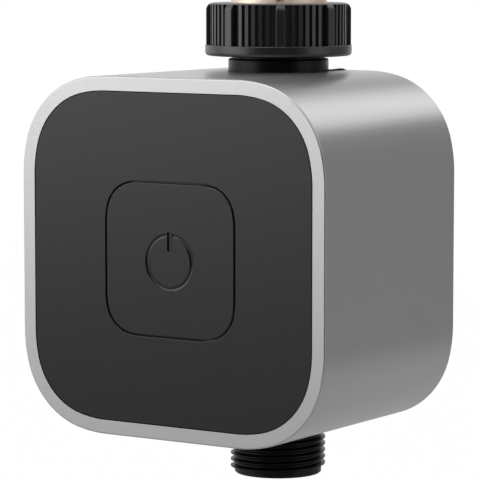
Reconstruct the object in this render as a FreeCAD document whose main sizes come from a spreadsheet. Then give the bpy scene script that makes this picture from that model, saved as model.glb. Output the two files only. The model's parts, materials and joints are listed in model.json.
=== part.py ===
import FreeCAD, Part
import math
import os
import re

import Sketcher

# Smart irrigation controller: a battery-powered water valve that hangs from a garden tap.
# Each piece is drawn in millimetres from the centre of the front face: X to the right, Y into
# the depth and Z up. Its Placement then sets it in the part's frame, whose origin is on the
# pipe axis at the washer that the tap's spout seats on, with +Z up and the face towards -Y.

SIZES = {
    # Housing sleeve, a square tube whose corners are three tangent arcs
    "housing_half": 48.0,
    "housing_depth": 67.0,
    "corner_blend": 38.0,
    "corner_radius": 23.0,
    "blend_angle": 14.0,
    "sleeve_wall": 2.0,
    "rim_width": 3.85,
    "rim_depth": 2.4,
    "rim_round": 0.4,
    "slide_gap": 0.3,
    # Pipe axis behind the face, and the pipe's ends measured from the housing's outside
    "pipe_setback": 53.3,
    "neck_radius": 13.85,
    "neck_sink": 3.0,
    "neck_rise": 3.4,
    "neck_chamfer": 0.35,
    "pipe_radius": 11.5,
    "pipe_inset": 1.5,
    "water_bore": 6.5,
    # Spigots and their seals, alike at the inlet and at the outlet
    "spigot_radius": 9.5,
    "spigot_length": 8.6,
    "spigot_fit": 0.05,
    "seal_inset": 3.4,
    "seal_wire": 0.77,
    "seal_slack": 0.03,
    "seal_side_gap": 0.26,
    # Swivel nut with its grip
    "nut_gap": 0.8,
    "band_radius": 20.23,
    "band_height": 2.95,
    "lug_inset": 0.23,
    "rib_inset": 1.0,
    "rib_height": 0.9,
    "groove_inset": 0.35,
    "nut_top_round": 2.0,
    "nut_bottom_round": 1.0,
    "band_top_round": 0.2,
    "lug_round": 0.25,
    "lug_count": 8,
    "lug_azimuth": -56.0,
    "lug_angle": 7.4,
    "rib_pitch": 6.1,
    "rib_angle": 3.0,
    "nut_floor": 1.7,
    "nut_hole_gap": 0.2,
    "nut_thread": 13.22,
    "nut_fit": 0.03,
    "slip_ring_width": 2.1,
    "slip_gap": 0.08,
    # Tailpiece that the nut turns on, its washer and its screen
    "tail_step": 1.1,
    "flange_fit": 0.32,
    "flange_thickness": 1.6,
    "flange_gap": 0.1,
    "washer_fit": 0.62,
    "washer_bore": 7.0,
    "washer_thickness": 1.8,
    "washer_gap": 0.05,
    "screen_radius": 8.1,
    "screen_thickness": 1.2,
    "screen_hole": 0.75,
    "screen_pitch": 2.3,
    # Brass reducer in the nut, with the inlet thread's bore
    "inlet_bore": 9.316,
    "inlet_depth": 7.3,
    "reducer_proud": 1.3,
    "reducer_floor": 1.35,
    "reducer_hole": 6.6,
    "reducer_chamfer": 0.4,
    "seat_washer_lip": 0.284,
    "seat_washer_bore": 6.8,
    "seat_washer_thickness": 1.5,
    "seat_washer_gap": 0.1,
    "key_width": 2.2,
    "key_depth": 0.6,
    "key_drop": 0.15,
    # Threaded outlet
    "outlet_root": 12.1,
    "outlet_crest": 13.22,
    "outlet_drop": 16.1,
    "outlet_bore": 8.0,
    "outlet_floor": 2.5,
    "thread_pitch": 1.814,
    "thread_hidden": 0.6,
    "thread_end": 1.75,
    "thread_azimuth": 205.0,
    "thread_root_half": 0.8,
    "thread_crest_half": 0.15,
    "thread_sink": 0.15,
    "outlet_chamfer": 0.3,
    # Rear housing
    "skirt_wall": 2.0,
    "skirt_length": 8.0,
    "back_wall": 2.0,
    "bulge_inset": 12.0,
    "bulge_blend": 33.0,
    "bulge_corner": 20.0,
    "bulge_depth": 11.0,
    "bulge_round": 3.0,
    "tongue_start": 0.9,
    "tongue_rise": 0.05,
    "tongue_sink": 0.05,
    "rail_width": 1.2,
    "rail_low": 0.15,
    "rail_high": 0.5,
    "rail_run": 10.5,
    "rail_end": 1.0,
    "collar_gap": 0.3,
    "collar_wall": 2.15,
    "pipe_gap": 0.15,
    "boss_offset_gap": 0.1,
    "boss_radius_rear": 3.2,
    "outlet_gap": 0.5,
    "slot_gap": 0.36,
    # Front panel and its gasket
    "panel_gap": 0.15,
    "panel_recess": 0.05,
    "panel_flange": 1.5,
    "edge_round": 0.25,
    "gasket_thickness": 0.5,
    "gasket_inset": 0.1,
    # Button, its symbol and its spring
    "button_half": 20.32,
    "button_blend": 17.0,
    "button_corner": 8.5,
    "button_gap": 0.3,
    "button_round": 0.35,
    "window_round": 0.2,
    "button_lip": 1.6,
    "button_lip_depth": 2.0,
    "button_lip_thickness": 1.0,
    "button_stop": 0.1,
    "button_travel": 0.6,
    "button_nub": 2.5,
    "symbol_drop": 0.43,
    "symbol_radius": 7.1,
    "symbol_wire": 1.0,
    "symbol_depth": 0.25,
    "symbol_break": 0.95,
    "symbol_bar_low": 2.85,
    "symbol_bar_high": 7.9,
    "symbol_bar_wire": 1.2,
    "symbol_bar_depth": 0.28,
    "button_spring_radius": 6.6,
    "button_spring_wire": 0.2,
    "button_spring_turns": 2.5,
    "spring_seat_radius": 8.5,
    "spring_seat_floor": 0.6,
    # Chassis with its posts and battery trays
    "chassis_plate": 1.6,
    "chassis_wall": 1.6,
    "chassis_back": 36.0,
    "chassis_hole": 5.0,
    "post_inset": 5.83,
    "post_radius": 3.0,
    "post_gap": 0.2,
    "cell_inset": 15.4,
    "cell_depth": 17.0,
    "cell_radius": 7.15,
    "cell_length": 50.5,
    "cell_nub_radius": 2.7,
    "cell_nub_height": 1.0,
    "cell_gap": 0.3,
    "tray_wall": 0.85,
    "tray_end": 1.0,
    "tray_back": 20.0,
    "cell_spring_length": 3.4,
    "cell_spring_radius": 3.4,
    "cell_spring_wire": 0.35,
    "cell_spring_turns": 3.0,
    "contact_plate": 0.4,
    "contact_half": 5.0,
    "contact_slack": 0.05,
    # Circuit board and what is on it
    "board_side_gap": 0.8,
    "board_end_gap": 10.0,
    "board_standoff": 1.5,
    "board_thickness": 1.6,
    "board_screw_side": 3.5,
    "board_screw_end": 4.0,
    "board_boss": 3.0,
    "board_screw_radius": 1.0,
    "board_screw_head": 2.1,
    "board_screw_head_height": 1.2,
    "board_screw_length": 4.0,
    "switch_half": 3.1,
    "switch_height": 2.2,
    "plunger_radius": 1.6,
    "plunger_proud": 0.7,
    "plunger_depth": 0.4,
    "plunger_fit": 0.05,
    "nub_gap": 0.1,
    "module_half_width": 8.0,
    "module_low": 16.0,
    "module_high": 33.0,
    "module_height": 2.4,
    "capacitor_radius": 4.0,
    "capacitor_length": 9.0,
    "capacitor_across": 6.0,
    "capacitor_down": 25.0,
    "connector_pad": 1.2,
    "connector_pad_thickness": 0.1,
    # Diaphragm valve in front of the pipe
    "valve_margin": 2.0,
    "valve_blend": 10.0,
    "valve_corner": 6.0,
    "valve_flange": 5.5,
    "chamber_radius": 17.5,
    "chamber_depth": 8.0,
    "chamber_inset": 7.8,
    "drum_wall": 2.5,
    "drum_floor": 2.0,
    "seat_outer": 8.5,
    "seat_bore": 5.5,
    "seat_drop": 2.0,
    "outlet_passage": 6.0,
    "passage_rise": 4.0,
    "inlet_blind": 9.0,
    "port_rise": 13.0,
    "port_radius": 3.8,
    "diaphragm_clamp": 3.0,
    "diaphragm_rim": 1.5,
    "diaphragm_web": 0.9,
    "diaphragm_core": 9.5,
    "diaphragm_gap": 0.1,
    "diaphragm_fit": 0.2,
    "pilot_bore": 0.7,
    "bonnet_cover": 1.6,
    "bonnet_depth": 6.0,
    "cavity_inset": 0.3,
    "boss_radius": 8.5,
    "boss_height": 3.8,
    "nozzle_radius": 1.6,
    "nozzle_height": 0.8,
    "bleed_offset": 3.75,
    "bleed_radius": 0.5,
    "poppet_inset": 0.5,
    "poppet_disc": 2.0,
    "poppet_stem": 2.0,
    "poppet_stem_length": 3.7,
    "poppet_travel": 2.0,
    "running_fit": 0.05,
    "guide_end_gap": 0.1,
    "poppet_spring_radius": 4.4,
    "poppet_spring_wire": 0.3,
    "poppet_spring_turns": 3.5,
    "spring_pocket_gap": 1.0,
    "spring_pocket_depth": 3.2,
    "valve_screw_inset": 4.0,
    "valve_screw_radius": 1.5,
    "valve_screw_head": 2.7,
    "valve_screw_head_height": 1.7,
    "valve_screw_length": 23.0,
    "valve_post_radius": 3.2,
    "screw_fit": 0.1,
    # Latching solenoid
    "tube_wall": 0.45,
    "tube_bore": 4.55,
    "tube_length": 15.6,
    "tube_end": 0.8,
    "tube_seat": 1.4,
    "pole_length": 2.75,
    "core_travel": 1.1,
    "core_stop": 0.1,
    "core_spring_gap": 0.35,
    "core_pocket_depth": 3.0,
    "tip_radius": 2.15,
    "tip_length": 1.75,
    "tip_gap": 0.05,
    "core_recess": 0.15,
    "core_spring_radius": 2.0,
    "core_spring_wire": 0.25,
    "core_spring_turns": 5.0,
    "bobbin_fit": 0.1,
    "bobbin_wall": 0.9,
    "bobbin_flange": 10.9,
    "bobbin_flange_thickness": 1.0,
    "bobbin_length": 12.2,
    "coil_inset": 0.4,
    "coil_gap": 0.02,
    "yoke_plate": 1.2,
    "yoke_half": 11.0,
    "yoke_top": 8.0,
    "yoke_side_gap": 1.3,
    "yoke_slack": 0.1,
    "magnet_radius": 4.9,
    "magnet_thickness": 1.2,
    "terminal_across": 4.0,
    "terminal_clear": 1.4,
    "terminal_radius": 0.4,
    "terminal_gap": 0.1,
    # Rear screws that hold the front unit
    "rear_screw_radius": 1.5,
    "rear_screw_head": 2.8,
    "rear_screw_head_height": 1.6,
    "rear_screw_length": 17.0,
    "rear_hole_depth": 11.0,
    "rear_slot_width": 0.9,
    "rear_slot_depth": 0.8,
}

# Places that follow from the sizes: millimetres behind the front face, off a middle line or
# from the housing's centre, each written in the sizes and the other places

PLACES = {
    # Housing and chassis
    "skirt_inset": "sleeve_wall + slide_gap",
    "corner_centre": "housing_half - corner_blend + (corner_blend - corner_radius) * cos(blend_angle)",
    "post_offset": "corner_centre + (corner_radius - post_inset) * sqrt(0.5)",
    "wall_front": "housing_depth - back_wall",
    "skirt_front": "housing_depth - skirt_length",
    "post_end": "skirt_front - post_gap",
    "bulge_half": "housing_half - bulge_inset",
    "bulge_back": "housing_depth + bulge_depth",
    "panel_back": "rim_depth + gasket_thickness + panel_flange",
    "chassis_plate_back": "panel_back + chassis_plate",
    # Cells and board
    "cell_offset": "housing_half - cell_inset",
    "cell_space": "(cell_length + cell_spring_length + 2 * contact_slack) / 2",
    "board_half_width": "cell_offset - cell_radius - cell_gap - tray_wall - board_side_gap",
    "board_half_height": "housing_half - board_end_gap",
    "board_screw_across": "board_half_width - board_screw_side",
    "board_screw_up": "board_half_height - board_screw_end",
    "board_front": "chassis_plate_back + board_standoff",
    "board_back": "board_front + board_thickness",
    "switch_front": "board_front - switch_height",
    "plunger_front": "switch_front - plunger_proud",
    # Valve, from the pipe's axis to the front
    "drum_radius": "chamber_radius + drum_wall",
    "diaphragm_radius": "chamber_radius + diaphragm_clamp",
    "valve_half": "diaphragm_radius + valve_margin",
    "valve_screw_offset": "valve_half - valve_screw_inset",
    "bonnet_cavity": "chamber_radius - cavity_inset",
    "poppet_radius": "diaphragm_core - poppet_inset",
    "chamber_floor": "pipe_setback - chamber_inset",
    "valve_face": "chamber_floor - chamber_depth",
    "seat_lip": "valve_face + seat_drop",
    "diaphragm_front": "valve_face - diaphragm_rim",
    "bonnet_front": "diaphragm_front - bonnet_depth",
    "cavity_front": "bonnet_front + bonnet_cover",
    "boss_front": "bonnet_front - boss_height",
    "nozzle_front": "boss_front - nozzle_height",
    "poppet_back": "diaphragm_front - contact_slack",
    "poppet_front": "poppet_back - poppet_disc",
    "stem_front": "poppet_front - poppet_stem_length",
    "guide_front": "stem_front - poppet_travel - guide_end_gap",
    # Solenoid
    "tube_radius": "tube_bore + tube_wall",
    "core_radius": "tube_bore - running_fit",
    "core_pocket": "core_spring_radius + core_spring_wire + core_spring_gap",
    "bobbin_bore": "tube_radius + bobbin_fit",
    "bobbin_hub": "bobbin_bore + bobbin_wall",
    "coil_radius": "bobbin_flange - coil_inset",
    "yoke_bottom": "bobbin_flange + yoke_side_gap + yoke_plate",
    "terminal_rise": "yoke_top + terminal_clear",
    "tube_back": "boss_front + tube_seat",
    "tube_front": "tube_back - tube_length",
    "pole_front": "tube_front + tube_end + contact_slack",
    "pole_back": "pole_front + pole_length",
    "core_front": "pole_back + core_travel + core_stop",
    "tip_back": "nozzle_front - tip_gap",
    "core_back": "tip_back - core_recess",
    "bobbin_back": "boss_front - yoke_plate - yoke_slack",
    "bobbin_front": "bobbin_back - bobbin_length",
    # Pipe and its seals
    "neck_foot": "housing_half - neck_sink",
    "neck_top": "housing_half + neck_rise",
    "tongue_half": "neck_radius + slot_gap - slide_gap",
    "pipe_bottom": "housing_half - pipe_inset",
    "seal_groove": "spigot_radius + spigot_fit - 2 * (seal_wire + seal_slack)",
    "seal_groove_height": "2 * seal_wire + seal_side_gap",
    # Inlet stack, from the neck up
    "tail_radius": "spigot_radius + tail_step",
    "flange_radius": "nut_thread - flange_fit",
    "washer_radius": "nut_thread - washer_fit",
    "seat_washer_radius": "inlet_bore + seat_washer_lip",
    "nut_bottom": "neck_top + nut_gap",
    "band_top": "nut_bottom + band_height",
    "flange_bottom": "nut_bottom + nut_floor + flange_gap",
    "flange_top": "flange_bottom + flange_thickness",
    "washer_top": "flange_top + washer_thickness",
    "reducer_bottom": "washer_top + washer_gap",
    "seat_floor": "reducer_bottom + reducer_floor",
    "seat_level": "seat_floor + seat_washer_thickness",
    "reducer_top": "seat_level + inlet_depth + reducer_chamfer",
    "nut_top": "reducer_top - reducer_proud",
    "groove_top": "nut_top - groove_inset",
    "lug_radius": "band_radius - lug_inset",
    "rib_radius": "lug_radius - rib_inset",
    "groove_radius": "rib_radius - rib_height",
    # Outlet
    "outlet_bottom": "housing_half + outlet_drop",
    "outlet_bore_top": "pipe_bottom + outlet_floor",
    "thread_top": "housing_half - thread_hidden",
    "thread_bottom": "outlet_bottom - thread_end",
}

doc = FreeCAD.newDocument("irrigation_controller")
sheet = doc.addObject("Spreadsheet::Sheet", "sizes")
for row, (alias, value) in enumerate(SIZES.items(), 1):
    sheet.set(f"A{row}", alias)
    sheet.set(f"B{row}", str(value))
    sheet.setAlias(f"B{row}", alias)
doc.recompute()

Vector = FreeCAD.Vector
X_AXIS = Vector(1, 0, 0)
Y_AXIS = Vector(0, 1, 0)
Z_AXIS = Vector(0, 0, 1)
WORD = re.compile(r"\b[a-z][a-z_0-9]*\b")
NODES = []


def cells(formula):
    """The formula with each place worked out and each size written as a cell of the sheet."""
    def cell(word):
        name = word.group()
        if name in PLACES:
            return "(" + cells(PLACES[name]) + ")"
        return "sizes." + name if name in SIZES else name
    return WORD.sub(cell, formula)


def size_of(formula):
    """What the formula gives with the sheet's present sizes."""
    return float(sheet.evalExpression(cells(formula)))


def bind(thing, name, formula):
    """Tie one property of a document object to the sheet."""
    thing.setExpression(name, cells(formula))


def node(thing, label, centred="face"):
    """Name a finished piece and set it in the part's frame.

    A piece drawn round the pipe axis is centred on "pipe", any other on "face".
    """
    thing.Label = label
    if centred == "face":
        bind(thing, ".Placement.Base.y", "-pipe_setback")
    bind(thing, ".Placement.Base.z", "-seat_level")
    NODES.append(thing)
    return thing


# Primitives and booleans

def box(across, depth, height):
    """A block between two formulas on each of X, Y and Z."""
    block = doc.addObject("Part::Box", "Block")
    spans = (("Length", "x", across), ("Width", "y", depth), ("Height", "z", height))
    for side, axis, (low, high) in spans:
        bind(block, side, f"({high}) - ({low})")
        bind(block, f".Placement.Base.{axis}", low)
    return block


TURNS = {
    "x": FreeCAD.Rotation(Y_AXIS, 90),
    "y": FreeCAD.Rotation(X_AXIS, -90),
    "z": FreeCAD.Rotation(),
}


def rod(radius, low, high, axis="z", **middle):
    """A cylinder from low to high along an axis; middle gives the other two coordinates."""
    cylinder = doc.addObject("Part::Cylinder", "Rod")
    cylinder.Placement = FreeCAD.Placement(Vector(), TURNS[axis])
    bind(cylinder, "Radius", radius)
    bind(cylinder, "Height", f"({high}) - ({low})")
    bind(cylinder, f".Placement.Base.{axis}", low)
    for name, formula in middle.items():
        bind(cylinder, f".Placement.Base.{name}", formula)
    return cylinder


def fuse(*shapes):
    joined = doc.addObject("Part::MultiFuse", "Joined")
    joined.Shapes = list(shapes)
    return joined


def cut(base, *tools):
    left = doc.addObject("Part::Cut", "Cut")
    left.Base = base
    left.Tool = tools[0] if len(tools) == 1 else fuse(*tools)
    return left


def common(first, second):
    shared = doc.addObject("Part::Common", "Shared")
    shared.Base = first
    shared.Tool = second
    return shared


def group(*shapes):
    """Separate solids that share one node."""
    together = doc.addObject("Part::Compound", "Group")
    together.Links = list(shapes)
    return together


def corners(offset, offset_up=None):
    """The four places of a square or rectangular pattern, as formulas."""
    up = offset_up or offset
    return [(f"{a}({offset})", f"{b}({up})") for a in ("", "-") for b in ("", "-")]


# Sketched bodies

def origin_part(body, role):
    return [f for f in body.Origin.OriginFeatures if f.Role == role][0]


def sketch_on(body, role, offset="0"):
    sketch = body.newObject("Sketcher::SketchObject", "Sketch")
    sketch.AttachmentSupport = (origin_part(body, role), [""])
    sketch.MapMode = "FlatFace"
    bind(sketch, ".AttachmentOffset.Base.z", offset)
    return sketch


def constrain(sketch, kind, *where, formula):
    """Add a driving constraint whose value comes from the sheet."""
    index = sketch.addConstraint(Sketcher.Constraint(kind, *where, size_of(formula)))
    sketch.setExpression(f"Constraints[{index}]", cells(formula))


def constrain_angle(sketch, line, formula):
    """Set an arc's span or a line's direction in degrees from the sheet."""
    radians = math.radians(size_of(formula))
    index = sketch.addConstraint(Sketcher.Constraint("Angle", line, radians))
    sketch.setExpression(f"Constraints[{index}]", f"({cells(formula)}) * 1 deg")


def polygon(body, role, profile, offset="0"):
    """A closed sketch of straight lines through corners given as two formulas each."""
    sketch = sketch_on(body, role, offset)
    points = [Vector(size_of(x), size_of(y), 0) for x, y in profile]
    count = len(points)
    for i, start in enumerate(points):
        sketch.addGeometry(Part.LineSegment(start, points[(i + 1) % count]), False)
    for i in range(count):
        after = (i + 1) % count
        sketch.addConstraint(Sketcher.Constraint("Coincident", i, 2, after, 1))
    for i, (x, y) in enumerate(profile):
        constrain(sketch, "DistanceX", -1, 1, i, 1, formula=x)
        constrain(sketch, "DistanceY", -1, 1, i, 1, formula=y)
    return sketch


def side_prism(profile, low, high):
    """A prism along X from (depth, height) corners."""
    body = doc.addObject("PartDesign::Body", "Side")
    pad = body.newObject("PartDesign::Pad", "Pad")
    pad.Profile = polygon(body, "YZ_Plane", profile, low)
    bind(pad, "Length", f"({high}) - ({low})")
    body.Tip = pad
    return body


def turned(profile, axis="z"):
    """A body of revolution about Y or Z from (radius, level) corners."""
    body = doc.addObject("PartDesign::Body", "Turned")
    sketch = polygon(body, "XZ_Plane" if axis == "z" else "XY_Plane", profile)
    spin = body.newObject("PartDesign::Revolution", "Revolution")
    spin.Profile = sketch
    spin.ReferenceAxis = (sketch, ["V_Axis"])
    spin.Angle = 360
    body.Tip = spin
    return body


def outline_curves(half, blend, corner, angle):
    """A square's outline, anticlockwise: each side is followed by its corner's three arcs."""
    step = blend - corner
    end = half - blend + step * (math.cos(angle) - math.sin(angle))
    first = Vector(half - blend, end, 0)
    second = first + Vector(math.cos(angle), math.sin(angle), 0) * step
    third = second - Vector(math.sin(angle), math.cos(angle), 0) * step
    quarter = math.pi / 2
    arcs = (
        (first, blend, 0, angle),
        (second, corner, angle, quarter - angle),
        (third, blend, quarter - angle, quarter),
    )
    curves = []
    for turn in range(4):
        spin = FreeCAD.Rotation(Z_AXIS, 90 * turn)
        low = spin.multVec(Vector(half, -end, 0))
        high = spin.multVec(Vector(half, end, 0))
        curves.append(Part.LineSegment(low, high))
        for centre, radius, start, stop in arcs:
            circle = Part.Circle(spin.multVec(centre), Z_AXIS, radius)
            begin = turn * quarter
            curves.append(Part.ArcOfCircle(circle, begin + start, begin + stop))
    return curves


def square_sketch(body, half, blend, corner, level):
    """A square outline with three-arc corners, at one level behind the face."""
    sketch = sketch_on(body, "XZ_Plane", f"-({level})")
    angle = math.radians(size_of("blend_angle"))
    curves = outline_curves(size_of(half), size_of(blend), size_of(corner), angle)
    sketch.addGeometry(curves, False)
    count = len(curves)
    for i in range(count):
        sketch.addConstraint(Sketcher.Constraint("Tangent", i, 2, (i + 1) % count, 1))
    for side in range(4):
        line = 4 * side
        upright = side % 2 == 0
        sketch.addConstraint(Sketcher.Constraint("Vertical" if upright else "Horizontal", line))
        ends = (-1, 1, line, 1) if side < 2 else (line, 1, -1, 1)
        constrain(sketch, "DistanceX" if upright else "DistanceY", *ends, formula=half)
        for arc, radius in ((1, blend), (2, corner), (3, blend)):
            constrain(sketch, "Radius", line + arc, formula=radius)
        for arc in (1, 3):
            constrain_angle(sketch, line + arc, "blend_angle")
    return sketch


def rounded_square(half, blend, corner, low, high):
    """A prism along Y whose square outline has three-arc corners."""
    body = doc.addObject("PartDesign::Body", "Prism")
    sketch = square_sketch(body, half, blend, corner, low)
    pad = body.newObject("PartDesign::Pad", "Pad")
    pad.Profile = sketch
    pad.Reversed = True
    bind(pad, "Length", f"({high}) - ({low})")
    body.Tip = pad
    return body


def inset_square(inset, low, high):
    """A prism whose outline lies a steady distance inside the housing's outline."""
    return rounded_square(
        f"housing_half - ({inset})",
        f"corner_blend - ({inset})",
        f"corner_radius - ({inset})",
        low,
        high,
    )


def round_edges(body, radius, chosen):
    """Round the body's edges for which chosen(edge) holds."""
    doc.recompute()
    solid = body.Tip
    names = [f"Edge{i}" for i, edge in enumerate(solid.Shape.Edges, 1) if chosen(edge)]
    fillet = body.newObject("PartDesign::Fillet", "Fillet")
    fillet.Base = (solid, names)
    bind(fillet, "Radius", radius)
    body.Tip = fillet
    return body


def lies_at(axis, level):
    """A test for edges that lie wholly at one level of an axis."""
    value = size_of(level)

    def chosen(edge):
        bounds = edge.BoundBox
        low = getattr(bounds, axis + "Min")
        high = getattr(bounds, axis + "Max")
        return abs(low - value) < 1e-4 and abs(high - value) < 1e-4
    return chosen


def coil(radius, wire, turns, low, high, axis="y"):
    """An open spring whose wire reaches from low to high along Y or Z."""
    body = doc.addObject("PartDesign::Body", "Coil")
    sketch = sketch_on(body, "XZ_Plane" if axis == "z" else "XY_Plane")
    start = f"({low}) + ({wire})"
    centre = Vector(size_of(radius), size_of(start), 0)
    sketch.addGeometry(Part.Circle(centre, Z_AXIS, size_of(wire)), False)
    constrain(sketch, "DistanceX", -1, 1, 0, 3, formula=radius)
    constrain(sketch, "DistanceY", -1, 1, 0, 3, formula=start)
    constrain(sketch, "Radius", 0, formula=wire)
    helix = body.newObject("PartDesign::AdditiveHelix", "Helix")
    helix.Profile = sketch
    helix.ReferenceAxis = (sketch, ["V_Axis"])
    helix.Mode = 2
    bind(helix, "Turns", turns)
    bind(helix, "Height", f"({high}) - ({low}) - 2 * ({wire})")
    body.Tip = helix
    return body


# Sleeve, panel and button

def slot_tools():
    """Room for the neck and the outlet in the sleeve, open at the rear."""
    behind = "housing_depth + 1"
    tools = []
    for radius, low, high in (
        ("neck_radius + slot_gap", "0", "housing_half + 1"),
        ("outlet_crest + outlet_gap", "-housing_half - 1", "0"),
    ):
        tools.append(rod(radius, low, high, y="pipe_setback"))
        side = "tongue_half + slide_gap"
        start = "pipe_setback + tongue_start - slide_gap"
        tools.append(box((f"-({side})", side), (start, behind), (low, high)))
    return tools


def make_sleeve():
    outer = inset_square("0", "0", "housing_depth")
    round_edges(outer, "rim_round", lies_at("Y", "0"))
    window = inset_square("rim_width", "-1", "rim_depth + 1")
    hollow = inset_square("sleeve_wall", "rim_depth", "housing_depth + 1")
    return node(cut(outer, window, hollow, *slot_tools()), "sleeve")


def make_panel():
    window = ("button_half + button_gap", "button_blend + button_gap", "button_corner + button_gap")
    front = inset_square("rim_width + panel_gap", "panel_recess", "panel_back")
    at_face = lies_at("Y", "panel_recess")
    round_edges(front, "edge_round", at_face)
    sketch = square_sketch(front, *window, "panel_recess")
    pocket = front.newObject("PartDesign::Pocket", "Window")
    pocket.Profile = sketch
    bind(pocket, "Length", "panel_back")
    front.Tip = pocket
    reach = size_of("button_half + button_lip")

    def at_window(edge):
        bounds = edge.BoundBox
        far = max(bounds.XMax, -bounds.XMin, bounds.ZMax, -bounds.ZMin)
        return at_face(edge) and far < reach
    round_edges(front, "window_round", at_window)
    flange = inset_square("skirt_inset", "rim_depth + gasket_thickness", "panel_back")
    recess = rounded_square(
        "button_half + button_lip + slide_gap",
        "button_blend + button_lip + slide_gap",
        "button_corner + button_lip + slide_gap",
        "button_lip_depth - button_stop",
        "housing_depth",
    )
    around = cut(flange, rounded_square(*window, "0", "housing_depth"))
    return node(cut(fuse(front, around), recess), "front_panel")


def make_panel_gasket():
    outer = inset_square("skirt_inset + gasket_inset", "rim_depth", "rim_depth + gasket_thickness")
    inner = inset_square("rim_width", "0", "housing_depth")
    return node(cut(outer, inner), "panel_gasket")


def make_button():
    cap = rounded_square(
        "button_half", "button_blend", "button_corner", "panel_recess", "button_lip_depth"
    )
    round_edges(cap, "button_round", lies_at("Y", "panel_recess"))
    lip_back = "button_lip_depth + button_lip_thickness"
    lip = rounded_square(
        "button_half + button_lip",
        "button_blend + button_lip",
        "button_corner + button_lip",
        "button_lip_depth",
        lip_back,
    )
    nub = rod("button_nub", lip_back, "plunger_front - nub_gap", axis="y")
    # the ring is broken at the top, where the bar stands between two thin ribs
    lead = "asin(symbol_break / symbol_radius)"
    half_gap = size_of(lead)
    ring = doc.addObject("Part::Torus", "Ring")
    bind(ring, "Radius1", "symbol_radius")
    bind(ring, "Radius2", "symbol_wire")
    bind(ring, "Angle3", f"360 deg - 2 * {lead}")
    turn = FreeCAD.Rotation(Z_AXIS, half_gap - 90)
    ring.Placement = FreeCAD.Placement(Vector(), TURNS["y"].multiply(turn))
    bind(ring, ".Placement.Base.y", "panel_recess + symbol_depth - symbol_wire")
    bind(ring, ".Placement.Base.z", "-symbol_drop")
    bar = rod(
        "symbol_bar_wire",
        "symbol_bar_low - symbol_drop",
        "symbol_bar_high - symbol_drop",
        y="panel_recess + symbol_bar_depth - symbol_bar_wire",
    )
    return node(cut(fuse(cap, lip, nub), ring, bar), "power_button")


def make_button_spring():
    spring = coil(
        "button_spring_radius",
        "button_spring_wire",
        "button_spring_turns",
        "button_lip_depth + button_lip_thickness + contact_slack",
        "chassis_plate_back - spring_seat_floor - contact_slack",
    )
    return node(spring, "button_spring")


# Chassis, board and batteries

def make_chassis():
    plate = inset_square("skirt_inset", "panel_back", "chassis_plate_back")
    wall = cut(
        inset_square("skirt_inset", "chassis_plate_back", "chassis_back"),
        inset_square("skirt_inset + chassis_wall", "chassis_plate_back", "housing_depth"),
    )
    solids = [plate, wall]
    holes = [
        rod("chassis_hole", "0", "housing_depth", axis="y"),
        rod(
            "spring_seat_radius",
            "0",
            "chassis_plate_back - spring_seat_floor",
            axis="y",
        ),
    ]
    for across, up in corners("post_offset"):
        solids.append(rod("post_radius", "chassis_plate_back", "post_end", "y", x=across, z=up))
        bore = "rear_screw_radius + screw_fit"
        holes.append(rod(bore, "post_end - rear_hole_depth", "housing_depth", "y", x=across, z=up))
    for across, up in corners("board_screw_across", "board_screw_up"):
        solids.append(rod("board_boss", "chassis_plate_back", "board_front", "y", x=across, z=up))
        bore = "board_screw_radius + screw_fit / 2"
        deep = "board_back - board_screw_length - screw_fit"
        holes.append(rod(bore, deep, "housing_depth", "y", x=across, z=up))
    return node(cut(fuse(*solids), *holes), "chassis")




def make_tray(side, name):
    middle = f"{side}cell_offset"
    inner = "(cell_radius + cell_gap)"
    outer = f"({inner} + tray_wall)"
    reach = "(cell_space + contact_plate + tray_end)"
    block = box(
        (f"{middle} - {outer}", f"{middle} + {outer}"),
        ("chassis_plate_back", "tray_back"),
        (f"-{reach}", reach),
    )
    end = "(cell_space + contact_plate)"
    trough = rod(inner, f"-{end}", end, x=middle, y="cell_depth")
    mouth = box(
        (f"{middle} - {inner}", f"{middle} + {inner}"),
        ("cell_depth", "tray_back + 1"),
        (f"-{end}", end),
    )
    return node(cut(block, trough, mouth), name)


def make_cell(side, name, way):
    """A round cell; way is 1 with its nub up, -1 with its nub down."""
    plus = "cell_space - contact_slack"
    shoulder = f"{plus} - cell_nub_height"
    minus = f"{plus} - cell_length"
    x = f"{side}cell_offset"
    if way > 0:
        can = rod("cell_radius", minus, shoulder, x=x, y="cell_depth")
        nub = rod("cell_nub_radius", shoulder, plus, x=x, y="cell_depth")
    else:
        can = rod("cell_radius", f"-({shoulder})", f"-({minus})", x=x, y="cell_depth")
        nub = rod("cell_nub_radius", f"-({plus})", f"-({shoulder})", x=x, y="cell_depth")
    return node(fuse(can, nub), name)


def make_cell_contacts():
    plates = []
    for side in ("", "-"):
        middle = f"{side}cell_offset"
        for low, high in (
            ("cell_space", "cell_space + contact_plate"),
            ("-(cell_space + contact_plate)", "-(cell_space)"),
        ):
            plates.append(box(
                (f"{middle} - contact_half", f"{middle} + contact_half"),
                ("cell_depth - contact_half", "cell_depth + contact_half"),
                (low, high),
            ))
    return node(group(*plates), "cell_contacts")


def make_cell_springs():
    springs = []
    low = "-(cell_space) + contact_slack"
    high = "cell_space - cell_length - 2 * contact_slack"
    for side, base, tip in (
        ("", low, high),
        ("-", f"-({high})", f"-({low})"),
    ):
        spring = coil(
            "cell_spring_radius", "cell_spring_wire", "cell_spring_turns", base, tip, "z"
        )
        bind(spring, ".Placement.Base.x", f"{side}cell_offset")
        bind(spring, ".Placement.Base.y", "cell_depth")
        springs.append(spring)
    return node(group(*springs), "cell_springs")


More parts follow.
